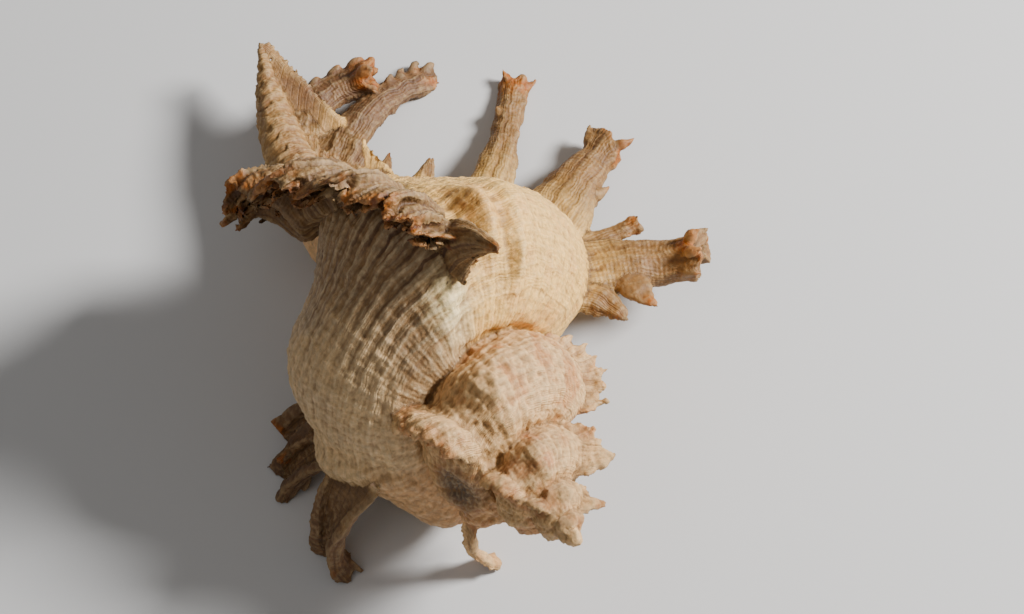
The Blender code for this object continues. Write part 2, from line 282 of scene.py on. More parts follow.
# Linear colours
TAN = (0.66, 0.47, 0.28)
CREAM = (0.90, 0.63, 0.31)
GROWTH_STAIN = (0.78, 0.50, 0.27)
FOLD_BROWN = (0.48, 0.19, 0.08)
GREY_BROWN = (0.50, 0.38, 0.26)
# brown behind the crest, darkened with painted shade
CREST_BROWN_AND_SHADE = (0.25, 0.155, 0.085)
PINKISH = (0.70, 0.49, 0.34)
SPIRE_RUST = (0.46, 0.22, 0.12)
# rose tint with painted shade along two spire ridges
SPIRE_ROSE_AND_SHADE = (0.50, 0.20, 0.13)
SUTURE_BROWN = (0.62, 0.37, 0.20)
RECESS_EDGE = (0.40, 0.19, 0.09)
# painted shade in the recess on the spire
RECESS_PAINTED_SHADE = (0.07, 0.055, 0.045)
PATCH_YELLOW = (0.90, 0.72, 0.42)
PATCH_SPECK = (0.10, 0.05, 0.02)
FROND_BROWN = (0.29, 0.155, 0.075)
CANAL_BROWN = (0.19, 0.10, 0.06)
RIM_BROWN = (0.27, 0.155, 0.08)
RIM_WORN = (0.48, 0.34, 0.21)
# painted shade in the crest's furrows
FURROW_PAINTED_SHADE = (0.08, 0.04, 0.02)
# painted shade on the left fronds
LEFT_PAINTED_SHADE = (0.24, 0.15, 0.10)
TIP_ORANGE = (0.52, 0.17, 0.04)
# painted shade in wide and fine hollows, then a painted highlight on ridges
WIDE_HOLLOW_PAINTED_SHADE = (0.16, 0.09, 0.045)
FINE_HOLLOW_PAINTED_SHADE = (0.30, 0.18, 0.09)
RIDGE_PAINTED_HIGHLIGHT = (0.82, 0.68, 0.48)
APERTURE = (0.84, 0.60, 0.42)
LINE_SHADE = (0.36, 0.24, 0.15)
FLOOR_GREY = (0.62, 0.61, 0.60)


def smooth_line(points, count):
    """A smooth curve through the points, as count points at equal steps."""
    p = np.array(points, float)
    p = np.vstack([2 * p[0] - p[1], p, 2 * p[-1] - p[-2]])
    fine = []
    for i in range(1, len(p) - 2):
        for w in np.linspace(0, 1, 24, endpoint=False):
            b = p[i + 1] - p[i - 1]
            c = 2 * p[i - 1] - 5 * p[i] + 4 * p[i + 1] - p[i + 2]
            d = -p[i - 1] + 3 * p[i] - 3 * p[i + 1] + p[i + 2]
            fine.append(p[i] + 0.5 * (b * w + c * w**2 + d * w**3))
    fine.append(p[-2])
    fine = np.array(fine)
    along = np.r_[0, np.cumsum(np.linalg.norm(np.diff(fine, axis=0), axis=1))]
    at = np.linspace(0, along[-1], count)
    return np.stack([np.interp(at, along, fine[:, k]) for k in range(fine.shape[1])], 1)


def lattice(cells, seed):
    """Pseudo-random number from 0 to 1 for each whole-number cell."""
    h = cells[..., 0] * 374761393 + cells[..., 1] * 668265263 + cells[..., 2] * 2147483647 + seed * 974711
    h = (h ^ (h >> 13)) * 1274126177 & 0x7FFFFFFF
    h = (h ^ (h >> 16)) * 1103515245 & 0x7FFFFFFF
    return (h ^ (h >> 11)) % 65536 / 65536.0


def noise(points, seed=0):
    """Smooth noise from -1 to 1 at each point, with cells of size 1."""
    p = np.atleast_2d(points)
    if p.shape[1] < 3:
        p = np.hstack([p, np.zeros((len(p), 3 - p.shape[1]))])
    cell = np.floor(p).astype(np.int64)
    part = p - cell
    part = part * part * (3 - 2 * part)
    total = np.zeros(len(p))
    for dx in (0, 1):
        for dy in (0, 1):
            for dz in (0, 1):
                corner = np.array((dx, dy, dz))
                weight = np.abs(1 - corner - part).prod(1)
                total += weight * lattice(cell + corner, seed)
    return 2 * total - 1


def fractal(points, octaves=4, seed=0):
    """Noise with finer and fainter noise on top."""
    total = np.zeros(len(points))
    for k in range(octaves):
        total += noise(points * 2.03**k, seed + k) * 0.5**k
    return total


def bell(x, centre, spread):
    """1 at the centre, falling off smoothly to both sides."""
    return np.exp(-(((x - centre) / spread) ** 2))


def smoothstep(low, high, x):
    t = np.clip((x - low) / (high - low), 0, 1)
    return t * t * (3 - 2 * t)


def size_at(growth):
    """Scale of the coil, 1 at the lip."""
    return WHORL_GROWTH ** (growth / 360.0)


def azimuth_at(growth):
    return LIP_AZIMUTH - growth


def outward(azimuth):
    a = math.radians(azimuth)
    return np.array([math.cos(a), math.sin(a), 0.0])


def in_space(line, azimuth):
    """An outline's (radius, station) points in the shell's frame, with the canal's bend."""
    line = np.asarray(line, float)
    past = np.clip((line[:, 1] - CANAL_BEND_START) / (CANAL_END - CANAL_BEND_START), 0, None)
    bend = CANAL_BEND * past**2
    points = line[:, :1] * outward(azimuth) + bend[:, None] * outward(CANAL_BEND_AZIMUTH)
    points[:, 2] -= line[:, 1]
    return points


def slant(varix, stations):
    """How far a varix leans forward in growth. The lip's own doesn't."""
    return np.interp(stations, *zip(*SLANT)) * (varix > 0)


def relief(growth, stations):
    """Height of varices, folds and dents over the plain outline."""
    raised = np.zeros(len(stations))
    along = np.interp(stations, (48, 58, 68, 90, 105, 142), (0.1, 0.7, 1.0, 1.0, 0.5, 0.1))
    for k, (at, height) in enumerate(zip(VARICES, RIDGE_HEIGHTS)):
        gap = growth - at - slant(k, stations)
        spread = np.where(gap < 0, RIDGE_BACK, RIDGE_FRONT)
        covered = 1.0 if at > COVERED_GROWTH else np.clip((NEXT_SUTURE + 2 - stations) / 6, 0, 1)
        raised += height * np.exp(-((gap / spread) ** 2)) * along * covered
    for at, station, height, length, spread in NODES:
        near = np.exp(-(((stations - station) / spread) ** 2))
        raised += height * math.exp(-(((growth - at) / length) ** 2)) * near
    return raised


SMOOTH_OUTLINES = {}


def outline_at(growth, count=OUTLINE_POINTS, inset=0.0):
    """The outline at this growth, (radius, station) in mm, and the stations at lip scale."""
    if count not in SMOOTH_OUTLINES:
        line = smooth_line(OUTLINE, count)
        along = np.gradient(line, axis=0)
        normal = np.stack([along[:, 1], -along[:, 0]], 1)
        normal /= np.linalg.norm(normal, axis=1)[:, None]
        SMOOTH_OUTLINES[count] = (line, normal)
    line, normal = SMOOTH_OUTLINES[count]
    out = (line + normal * relief(growth, line[:, 1])[:, None]) * size_at(growth)
    out -= normal * inset
    out[:, 0] = np.maximum(out[:, 0], 0.0)
    return out, line[:, 1]


def marks(count, cord=0.0, growth=0.0, tip=0.0, inner=0.0, along=0.0):
    """The coordinates that the surface pattern follows, for count points."""
    out = np.zeros((count, 5))
    for column, value in enumerate((cord, growth, tip, inner, along)):
        out[:, column] = value
    return out


def loft(rings, ring_marks):
    """A closed skin over rings of points, capped at both ends."""
    n = len(rings[0])
    points = np.concatenate(rings + [[rings[0].mean(0)], [rings[-1].mean(0)]])
    values = np.concatenate(ring_marks + [ring_marks[0][:1], ring_marks[-1][:1]])
    first, last = len(points) - 2, len(points) - 1
    i, j = np.meshgrid(np.arange(len(rings) - 1), np.arange(n), indexing="ij")
    a, b = (i * n + j).ravel(), (i * n + (j + 1) % n).ravel()
    triangles = [np.stack([a, b, b + n], 1), np.stack([a, b + n, a + n], 1)]
    j = np.arange(n)
    k = (j + 1) % n
    end = (len(rings) - 1) * n
    triangles.append(np.stack([np.full(n, first), k, j], 1))
    triangles.append(np.stack([np.full(n, last), end + j, end + k], 1))
    return points, np.concatenate(triangles), values


def whorls():
    """The filled early whorls."""
    rings, values = [], []
    for growth in np.arange(APEX_GROWTH, CAVITY_GROWTH + 0.1, TURN_STEP):
        line, stations = outline_at(growth)
        start, end = line[0, 1], line[-1, 1]
        back = np.array([[0.0, end], [0.0, start + 0.3 * (end - start)], [0.0, start]])
        rings.append(in_space(np.vstack([line, back]), azimuth_at(growth)))
        stations = np.r_[stations, 141, 80, 48]
        values.append(marks(len(stations), stations, growth, along=growth * 0.5 * size_at(growth)))
    return loft(rings, values)


def last_wall():
    """The open wall of the last half turn, rooted in the whorl before it."""
    rings, values = [], []
    for growth in np.linspace(CAVITY_GROWTH - 6, LIP_GROWTH, WALL_RINGS):
        outer, stations = outline_at(growth)
        inner, _ = outline_at(growth, inset=SHELL_WALL)
        root = outer[:1] + (-4.0, 1.0)
        outer = np.vstack([root, outer])
        inner = np.vstack([root + (0.0, 2.2), inner])
        stations = np.r_[stations[0], stations]
        rings.append(in_space(np.vstack([outer, inner[::-1]]), azimuth_at(growth)))
        along = growth * 0.5 * size_at(growth)
        values.append(
            np.vstack(
                [
                    marks(len(outer), stations, growth, along=along),
                    marks(len(outer), stations[::-1], growth, inner=1.0, along=along),
                ]
            )
        )
    return loft(rings, values)


def columella():
    """The pillar that the coil winds round."""
    profile = smooth_line(COLUMELLA, 60)
    sides = 40
    rings = []
    for r, s in profile:
        rings.append(np.vstack([in_space([(max(r, 0.05), s)], -360.0 * k / sides) for k in range(sides)]))
    return loft(rings, [marks(sides, s, -30.0, inner=0.8 if s < 98 else 0.0) for _, s in profile])


def apex_knob():
    ball = bmesh.new()
    bmesh.ops.create_icosphere(ball, subdivisions=3, radius=APEX_KNOB_RADIUS)
    points = np.array([v.co for v in ball.verts]) - (0, 0, APEX_KNOB_STATION)
    triangles = np.array([[v.index for v in face.verts] for face in ball.faces])
    ball.free()
    return points, triangles, marks(len(points), 60.0, APEX_GROWTH)


def foot_of(varix, station, shift=0.0):
    """Where a frond starts, and the directions away from the axis, to the older side and to the apex."""
    growth = VARICES[varix] + float(slant(varix, station)) + shift
    azimuth = azimuth_at(growth)
    line, _ = outline_at(growth, 200)
    at = int(np.argmin(np.abs(line[:, 1] - station * size_at(growth))))
    foot = in_space(line[at : at + 1], azimuth)[0]
    return foot, outward(azimuth), outward(azimuth + 90), growth


def course(foot, away, older, length, fan0, fan1, curl0, curl1, count, sunk=3.0):
    """Centre points of a frond, and at each the directions ahead, sideways and to its front."""
    apex = np.array([0, 0, 1.0])
    points, frames = [], []
    step = (length + sunk) / (count - 1)
    here = foot - away * sunk
    for v in np.linspace(0, 1, count):
        fan = math.radians(fan0 + (fan1 - fan0) * v)
        curl = math.radians(curl0 + (curl1 - curl0) * v**1.5)
        flat = math.cos(fan) * away + math.sin(fan) * apex
        ahead = math.cos(curl) * flat + math.sin(curl) * older
        side = -math.sin(fan) * away + math.cos(fan) * apex
        front = -math.cos(curl) * older + math.sin(curl) * flat
        points.append(here)
        frames.append((ahead, side, front))
        here = here + ahead * step
    return np.array(points), frames


def frond_course(spec, rows):
    """The course of a row of FRONDS, and its growth."""
    varix, station, length, _, _, fan0, fan1, curl0, curl1, shift = spec
    foot, away, older, growth = foot_of(varix, station, shift)
    return (*course(foot, away, older, length, fan0, fan1, curl0, curl1, rows), growth)


def half_width(spec, v):
    """A frond's half width at share v of its length. Narrow-tipped ones are cones, the rest flare."""
    width0, width1 = spec[3:5]
    pointed = width1 < 2
    reach = 1.0 if pointed else 0.8 if width0 > 16.5 else 0.55
    flare = 0.0 if pointed else 0.22 * max(0, (v - 0.78) / 0.22) ** 2
    return 0.5 * (width0 + (width1 - width0) * min(1, v / reach)) * (1 + flare)


def frond(spec, seed):
    """A hollow frond, rolled like a leaf, open towards its front, with a ragged end."""
    varix, station, length, width0, width1 = spec[:5]
    rows, around = max(14, int(length * 1.6)), FROND_AROUND
    closing = width0 > 16 and varix == 0
    points, frames, growth = frond_course(spec, rows)
    small = size_at(growth)
    turn = np.linspace(-1, 1, around)
    rings, values = [], []
    for i, (centre, (ahead, side, front)) in enumerate(zip(points, frames)):
        v = i / (rows - 1)
        half = half_width(spec, v)
        deep = half * (0.35 + 0.4 * min(1, v * 2))
        wall = min(1.7 + (0.30 * width1 - 1.3) * v, 0.85 * deep)
        rolled = 75 + 52 * min(1, v * 1.6) + 40 * float(smoothstep(0.5, 0.8, v)) * closing
        angles = turn * math.radians(rolled)
        late = max(0, (v - 0.6) / 0.4)
        ragged = noise(np.stack([turn * 4.5, np.full(around, seed * 7.1)], 1), seed)
        ragged = ragged * late * min(2.0, width1 * 0.28)
        edge = noise(np.stack([turn, np.full(around, v * length * 0.4)], 1), seed + 3) * np.abs(turn) ** 3
        widen = half + edge * 0.8 * min(1, half / 3)
        outer_half, outer_deep = widen * np.sin(angles), deep * np.cos(angles)
        outer = centre + side * outer_half[:, None] - front * outer_deep[:, None]
        inner_half = np.maximum(widen - wall, 0.1) * np.sin(angles)
        inner_deep = (deep - wall) * np.cos(angles)
        inner = centre + side * inner_half[:, None] - front * inner_deep[:, None]
        ring = np.vstack([outer, inner[::-1]]) + ahead * np.r_[ragged, ragged[::-1]][:, None]
        rings.append(ring)
        cord = station + turn * width0 / 2 / small
        values.append(
            np.vstack(
                [
                    marks(around, cord, growth, v, 0.0, v * length),
                    marks(around, cord[::-1], growth, v, 1.0, v * length),
                ]
            )
        )
    return loft(rings, values)


def spur(spec, share, angle, length, width):
    """A small curved cone on a frond. A wide one is flattened into a web."""
    rows, around, steps = 9, 10, 40
    points, frames, growth = frond_course(spec, steps + 1)
    at = int(round(share * steps))
    centre, (ahead, side, front) = points[at], frames[at]
    half = half_width(spec, share)
    turn = math.radians(angle)
    out = math.sin(turn) * side - math.cos(turn) * front
    foot = centre + out * half * 0.45 - front * half * 0.2
    flat = 0.35 if width > 8 else 0.75
    angles = np.linspace(0, 2 * math.pi, around, endpoint=False)
    rings, values = [], []
    for v in np.linspace(0, 1, rows):
        lean = 0.9 * v * min(1, 3.5 / length)
        way = math.cos(lean) * out + math.sin(lean) * ahead
        middle = foot + way * (length + 0.45 * half) * v
        radius = 0.5 * width * (1 - v) ** 0.8 + 0.25
        across = np.cross(out, ahead)
        along = np.cross(way, across)
        offset = np.cos(angles)[:, None] * along + flat * np.sin(angles)[:, None] * across
        rings.append(middle + radius * offset)
        tip = max(share, 0.5 + 0.5 * v)
        values.append(marks(around, spec[1] + angle / 30, growth, tip, 0.0, share * spec[2]))
    return loft(rings, values)


def crest(varix, thick, waviness, stand, web, lobes, shift, share, seed):
    """A webbed, fluted crest that stands on a varix and curls back. share scales its length."""
    web = np.array(web, float)
    small = size_at(VARICES[varix])
    span = (web[-1, 0] - web[0, 0]) * small
    columns, rows = int(max(24, span * 2.6)), CREST_ROWS
    edge_thick = 0.9 * min(1, thick / 3)
    rings, values = [], []
    for station in np.linspace(web[0, 0], web[-1, 0], columns):
        length, fan0, fan1, curl0, curl1 = (np.interp(station, web[:, 0], web[:, k]) for k in range(1, 6))
        lobe = max(math.exp(-(((station - at) / half) ** 2)) for at, half in lobes)
        point = max(math.exp(-(((station - at) / (0.4 * half)) ** 2)) for at, half in lobes)
        jag = noise([[station * 0.8, seed * 3.3]], seed)[0] * 0.5
        jag += noise([[station * 2.1, seed * 1.3]], seed)[0] * 0.35
        grown = (length + stand * (0.6 * lobe + 0.4 * point) + jag * min(2.2, stand)) * share
        curl1 = curl1 + 38.0 * lobe * (curl1 > 15)
        buttress = 13.0 * float(smoothstep(84, 98, station)) * (varix == 1 and thick > 3)
        foot, away, older, growth = foot_of(varix, station, shift)
        grown_length = max(grown, 0.8)
        points, frames = course(foot, away, older, grown_length, fan0, fan1, curl0, curl1, rows, sunk=2.0)
        back, front_side = [], []
        for i, (centre, (_, _, front)) in enumerate(zip(points, frames)):
            v = i / (rows - 1)
            wave = waviness * (lobe - 0.45) * min(1, v * 1.6)
            half = 0.5 * (edge_thick + (thick - edge_thick) * (1 - v) ** 1.8)
            root = buttress * (1 - v) ** 2.0 * v**0.35
            back.append(centre - front * (wave + half + root))
            front_side.append(centre - front * (wave - half))
        v = np.linspace(0, 1, rows)
        rings.append(np.vstack([back, front_side[::-1]]))
        values.append(
            np.vstack(
                [
                    marks(rows, station, growth, v, 0.0, v * grown),
                    marks(rows, station, growth, v[::-1], 1.0, v[::-1] * grown),
                ]
            )
        )
    return loft(rings, values)


def to_world():
    """Turns the shell's frame into the world's."""
    rise, top = math.radians(AXIS_RISE), math.radians(TOP_AZIMUTH)
    up = Vector((0, math.sin(rise), math.cos(rise)))
    apex = Vector((0, -math.cos(rise), math.sin(rise)))
    side = Vector((-1, 0, 0))
    zero = math.cos(top) * up - math.sin(top) * side
    ninety = math.sin(top) * up + math.cos(top) * side
    return Matrix((zero, ninety, apex)).transposed()


def above_floor(points):
    """What would reach below the floor, worn flat there."""
    turn = np.array(to_world())
    world = points @ turn.T + np.array(APEX_PLACE)
    world[:, 2] = np.maximum(world[:, 2], FLOOR_CLEARANCE)
    return (world - np.array(APEX_PLACE)) @ turn


def joined(parts):
    """Several skins as one list of points, triangles and marks."""
    points, triangles, values, start = [], [], [], 0
    for p, t, m in parts:
        points.append(p)
        triangles.append(t + start)
        values.append(m)
        start += len(p)
    return np.concatenate(points), np.concatenate(triangles), np.concatenate(values)


def mesh_from(name, points, faces):
    mesh = bpy.data.meshes.new(name)
    mesh.vertices.add(len(points))
    mesh.vertices.foreach_set("co", np.asarray(points, np.float32).ravel())
    faces = np.asarray(faces)
    corners = faces.shape[1]
    mesh.loops.add(len(faces) * corners)
    mesh.loops.foreach_set("vertex_index", faces.ravel().astype(np.int32))
    mesh.polygons.add(len(faces))
    mesh.polygons.foreach_set("loop_start", np.arange(0, len(faces) * corners, corners, dtype=np.int32))
    mesh.update()
    return mesh


def fused(points, triangles, voxel):
    """One closed skin round all the parts: vertices and quads."""
    mesh = mesh_from("parts", points, triangles)
    thing = bpy.data.objects.new("parts", mesh)
    bpy.context.scene.collection.objects.link(thing)
    modifier = thing.modifiers.new("Remesh", "REMESH")
    modifier.mode = "VOXEL"
    modifier.voxel_size = voxel
    skin = bpy.data.meshes.new_from_object(thing.evaluated_get(bpy.context.evaluated_depsgraph_get()))
    bpy.data.objects.remove(thing)
    co = np.zeros(len(skin.vertices) * 3, np.float32)
    skin.vertices.foreach_get("co", co)
    quads = np.zeros(len(skin.loops), np.int32)
    skin.loops.foreach_get("vertex_index", quads)
    bpy.data.meshes.remove(skin)
    return co.reshape(-1, 3).astype(float), quads.reshape(-1, 4)


def edges_of(quads):
    pairs = np.concatenate([quads[:, [0, 1]], quads[:, [1, 2]], quads[:, [2, 3]], quads[:, [3, 0]]])
    return np.unique(np.sort(pairs, axis=1), axis=0)


def largest_island(points, quads):
    """The main skin, without the crumbs that fusing leaves."""
    label = np.arange(len(points))
    edges = edges_of(quads)
    while True:
        low = np.minimum(label[edges[:, 0]], label[edges[:, 1]])
        new = label.copy()
        np.minimum.at(new, label[edges[:, 0]], low)
        np.minimum.at(new, label[edges[:, 1]], low)
        new = new[new]
        if np.array_equal(new, label):
            break
        label = new
    main = np.bincount(label[quads[:, 0]]).argmax()
    used, faces = np.unique(quads[label[quads[:, 0]] == main], return_inverse=True)
    return points[used], faces.reshape(-1, 4)


def averaged(values, edges, count):
    """Mean over each vertex's neighbours."""
    near = np.bincount(edges.ravel(), minlength=count)
    flat = values.reshape(count, -1)
    out = np.zeros_like(flat)
    for k in range(flat.shape[1]):
        out[:, k] = np.bincount(edges[:, 0], flat[edges[:, 1], k], count)
        out[:, k] += np.bincount(edges[:, 1], flat[edges[:, 0], k], count)
    return (out / np.maximum(near, 1)[:, None]).reshape(values.shape)


def normals_of(points, quads):
    """Area-weighted normals at the vertices."""
    a, b, c, d = (points[quads[:, k]] for k in range(4))
    face = np.cross(c - a, d - b)
    out = np.zeros_like(points)
    for k in range(4):
        for axis in range(3):
            out[:, axis] += np.bincount(quads[:, k], face[:, axis], len(points))
    return out / np.maximum(np.linalg.norm(out, axis=1), 1e-12)[:, None]


def carried(points, source_points, source_triangles, source_marks):
    """The pattern coordinates of the nearest place on the unfused parts."""
    tree = BVHTree.FromPolygons([tuple(p) for p in source_points], source_triangles.tolist())
    index = np.zeros(len(points), int)
    near = np.zeros_like(points)
    for i, p in enumerate(points):
        place, _, face, _ = tree.find_nearest(p)
        index[i] = face
        near[i] = place
    corners = source_triangles[index]
    a, b, c = (source_points[corners[:, k]] for k in range(3))
    ab, ac, ap = b - a, c - a, near - a
    d00, d01, d11 = (ab * ab).sum(1), (ab * ac).sum(1), (ac * ac).sum(1)
    d20, d21 = (ap * ab).sum(1), (ap * ac).sum(1)
    det = np.maximum(d00 * d11 - d01 * d01, 1e-12)
    wb = np.clip((d11 * d20 - d01 * d21) / det, 0, 1)
    wc = np.clip((d00 * d21 - d01 * d20) / det, 0, 1)
    wa = np.clip(1 - wb - wc, 0, 1)
    total = (wa + wb + wc)[:, None]
    m = source_marks[corners]
    return (m[:, 0] * wa[:, None] + m[:, 1] * wb[:, None] + m[:, 2] * wc[:, None]) / total


def build_shell():
    """The fused skin: vertices, quads, edges and the marks of each vertex."""
    parts = [whorls(), last_wall(), columella(), apex_knob()]
    for seed, spec in enumerate(FRONDS):
        parts.append(frond(spec, seed))
    for at, *shape in SPURS:
        parts.append(spur(FRONDS[at], *shape))
    for seed, (varix, thick, waviness, stand, web, lobes) in enumerate(CRESTS):
        parts.append(crest(varix, thick, waviness, stand, web, lobes, 0.0, 1.0, 20 + seed))
        sheet, layers = CREST_SHEETS.get(varix, (0.0, ()))
        for k, (shift, share) in enumerate(layers):
            sheet_seed = 40 + 5 * seed + k
            parts.append(crest(varix, sheet, waviness, stand, web, lobes, shift, share, sheet_seed))
    source_points, source_triangles, source_marks = joined(parts)
    source_points = above_floor(source_points)
    points, quads = largest_island(*fused(source_points, source_triangles, VOXEL))
    edges = edges_of(quads)
    for _ in range(SMOOTH_ROUNDS):
        points += SMOOTH_SHARE * (averaged(points, edges, len(points)) - points)
    values = carried(points, source_points, source_triangles, source_marks)
    return points, quads, edges, values


def saw(x):
    """Rises slowly from 0 to 1, then drops."""
    part = x - np.floor(x)
    return part * (1 - smoothstep(0.82, 1.0, part))


def furrows(points, cord):
    """Narrow grooves that run out along the crest to its edge, 1 at their bottoms."""
    wave = np.cos(2 * np.pi * (cord + 1.1 * fractal(points * 0.12, 3, 5)) / 3.1)
    return smoothstep(0.35, 0.95, wave)


def carved(points, quads, values):
    """Cords, growth lines, the terraces of old lips and weathering, raised on the skin."""
    normal = normals_of(points, quads)
    cord, growth, tip, inner, along = values.T
    outer = 1 - smoothstep(0.2, 0.6, inner)
    small = size_at(growth)
    last = growth > -300
    wobble = fractal(points * 0.12, 3, 5)
    rough = fractal(points * 0.55, 4, 9)
    # spiral cords and threads
    on_crest = bell(growth, CREST_GROWTH - 7, 20) * last
    main = np.cos(2 * np.pi * (cord + 0.9 * wobble) / 3.0)
    fine = np.cos(2 * np.pi * (cord + 0.6 * wobble) / 1.1)
    height = outer * small**0.5 * ((0.10 + 0.21 * on_crest) * main + (0.05 + 0.05 * on_crest) * fine)
    # terraces across the fronds, furrows along the crest
    uneven = noise(cord[:, None] / 2.5, 77)
    steps = saw(along / 2.3 + 1.1 * wobble + 0.5 * rough + 0.5 * uneven) - 0.4
    leafy = smoothstep(0.12, 0.5, tip)
    crown = (np.abs(growth - CREST_GROWTH) < RIM_HALF) * leafy
    height += (leafy - 0.30 * crown) * (0.15 + 0.4 * inner) * steps * np.clip(small * 1.3, 0.4, 1)
    height -= 1.10 * crown * inner * furrows(points, cord)
    # growth folds on the body
    folds = saw((growth + 2.2 * wobble + 1.2 * rough) / 7.5)
    height += outer * (1 - leafy) * 0.24 * (folds - 0.4)
    # weathering, rougher up the spire
    spire = smoothstep(SPIRE_START, SPIRE_START + 30, -growth)
    height += (0.16 + 0.20 * spire) * rough * (0.5 + 0.5 * outer) + 0.30 * fractal(points * 0.17, 3, 17)
    # scales across the canal, knobs at the fronds' ends
    scales = smoothstep(100, 108, cord) * (1 - leafy) * (inner < 0.5) * last
    height += 0.55 * scales * (saw(cord / 3.1 + 0.9 * wobble + 0.4 * rough) - 0.4)
    knobs = np.clip(noise(points / 2.3, 23) - 0.25, 0, 1) * smoothstep(0.55, 0.95, tip)
    height += 0.7 * knobs
    return points + normal * height[:, None]


def hollowness(points, quads, edges, rounds):
    """How far each vertex lies in a hollow (positive) or on a ridge, in mm, at a coarseness."""
    count = len(points)
    smooth = points
    for _ in range(rounds):
        smooth = averaged(smooth, edges, count)
    return ((smooth - points) * normals_of(points, quads)).sum(1)


def painted(points, quads, edges, values):
    """Colour at each vertex, linear, and how strongly brown lines show there."""
    cord, growth, tip, inner, _ = values.T
    count = len(points)
    fine_hollow = hollowness(points, quads, edges, 2)
    wide_hollow = hollowness(points, quads, edges, 14)
    base = np.tile(np.array(TAN), (count, 1))

    def mix(amount, colour):
        nonlocal base
        base = base + (np.array(colour) - base) * np.clip(amount, 0, 1)[:, None]

    blotch = fractal(points * 0.08, 4, 40)
    patch = fractal(points * 0.22, 4, 45)
    speck = fractal(points * 0.6, 3, 50)
    body = 1 - smoothstep(0.01, 0.08, tip)
    leafy = 1 - body
    spire = smoothstep(SPIRE_START, SPIRE_START + 25, -growth)
    last = 1 - spire
    fresh = smoothstep(-98, -84, growth) * last
    old = (1 - fresh) * last
    # bright, cream last third of the last whorl, with orange growth stains and a brown fold
    mix(0.85 * fresh, CREAM)
    stain = smoothstep(0.1, 0.7, patch + 0.4 * np.sin(growth * 0.55 + 2 * blotch))
    mix(0.50 * fresh * body * stain, GROWTH_STAIN)
    fold = bell(growth + 0.62 * cord, -34, 5) * bell(cord, 68, 7) * body
    mix(0.85 * fold * (0.45 + 0.55 * smoothstep(-0.2, 0.5, patch)), FOLD_BROWN)
    # greyer, browner older part
    mix(0.55 * old * body * smoothstep(-0.5, 0.7, blotch), GREY_BROWN)
    # behind the crest: brown, darkened further with painted shade
    near_crest = bell(growth - slant(1, cord), CREST_GROWTH - 21, 24) * last
    mix(0.80 * near_crest, CREST_BROWN_AND_SHADE)
    # spire: pinkish, rusty in patches, rose tint with painted shade along two ridges
    mix(0.45 * spire, PINKISH)
    mix(0.75 * spire * smoothstep(0.0, 0.6, patch), SPIRE_RUST)
    ridges = bell(growth, -806, 9) + bell(growth, -876, 8) * 0.8
    mix(0.55 * ridges * smoothstep(-0.5, 0.4, speck), SPIRE_ROSE_AND_SHADE)
    # band beside the suture, painted shade in the recess on the spire's left
    band = last * body * smoothstep(60, 54, cord) * smoothstep(190, 215, -growth)
    mix(0.8 * band, SUTURE_BROWN)
    around_recess = bell(growth, RECESS_GROWTH - 15, 34) * bell(cord, RECESS_STATION + 2, 14)
    mix(0.75 * around_recess * body, RECESS_EDGE)
    across = (growth - RECESS_GROWTH) / 25
    recess = np.exp(-((across**2 + ((cord - RECESS_STATION) / 9.5) ** 2) ** 2)) * body
    mix(0.95 * recess, RECESS_PAINTED_SHADE)
    # smooth yellow patch with black specks beside the crest's foot
    smooth_patch = bell(growth, PATCH_GROWTH, 9) * bell(cord, PATCH_STATION, 4) * body
    mix(1.2 * smooth_patch, PATCH_YELLOW)
    specks = smoothstep(0.72, 0.85, noise(points / 0.8, 61))
    mix(specks * smoothstep(0.3, 0.6, smooth_patch), PATCH_SPECK)
    # fronds and canal: brown, the crest's rim worn and furrowed, with painted shade in the furrows,
    # orange at the ends
    crown = (np.abs(growth - CREST_GROWTH) < RIM_HALF) * last
    mix(0.88 * smoothstep(0.03, 0.55, tip) * (1 - crown) * last, FROND_BROWN)
    canal = smoothstep(100, 110, cord) * last
    mix(0.95 * canal * (0.85 + 0.15 * patch), CANAL_BROWN)
    worn = smoothstep(-0.1, 0.45, speck + 0.5 * patch)
    mix(0.80 * crown * leafy, RIM_BROWN)
    mix(0.45 * crown * leafy * worn, RIM_WORN)
    mix(0.80 * crown * leafy * inner * furrows(points, cord), FURROW_PAINTED_SHADE)
    # painted shade on the fronds of the left side, away from the light
    left = smoothstep(170, 200, -growth) * (1 - smoothstep(290, 320, -growth)) * leafy
    mix(0.65 * left * (1 - 0.6 * smoothstep(0, 1, patch)), LEFT_PAINTED_SHADE)
    orange = smoothstep(0.80 - 0.08 * crown, 0.96, tip) * smoothstep(-0.25, 0.25, patch + 0.3 * crown)
    mix(0.85 * orange * (0.35 + 0.65 * last), TIP_ORANGE)
    # painted shade in wide and fine hollows, painted highlight on ridges, pink-white aperture
    wide_hollow_shade = smoothstep(0.02, 0.30, wide_hollow) * (0.45 + 0.55 * (near_crest + leafy * last).clip(0, 1))
    mix(0.70 * wide_hollow_shade, WIDE_HOLLOW_PAINTED_SHADE)
    mix(0.55 * smoothstep(0.015, 0.09, fine_hollow), FINE_HOLLOW_PAINTED_SHADE)
    mix(0.28 * smoothstep(0.01, 0.08, -fine_hollow), RIDGE_PAINTED_HIGHLIGHT)
    inside = smoothstep(0.5, 0.9, inner) * (tip < 0.02) * (cord < 106)
    mix(0.9 * inside, APERTURE)
    base *= (1 + 0.10 * speck)[:, None]
    # brown lines
    lines = 0.12 + 0.85 * near_crest + 0.14 * old + 0.40 * leafy * (1 - near_crest)
    lines *= (1 - inside) * (1 - smooth_patch) * (0.75 + 0.5 * blotch)
    lines = np.clip(lines, 0, 1) * (1 - 0.55 * fresh * body) * (1 - 0.7 * spire)
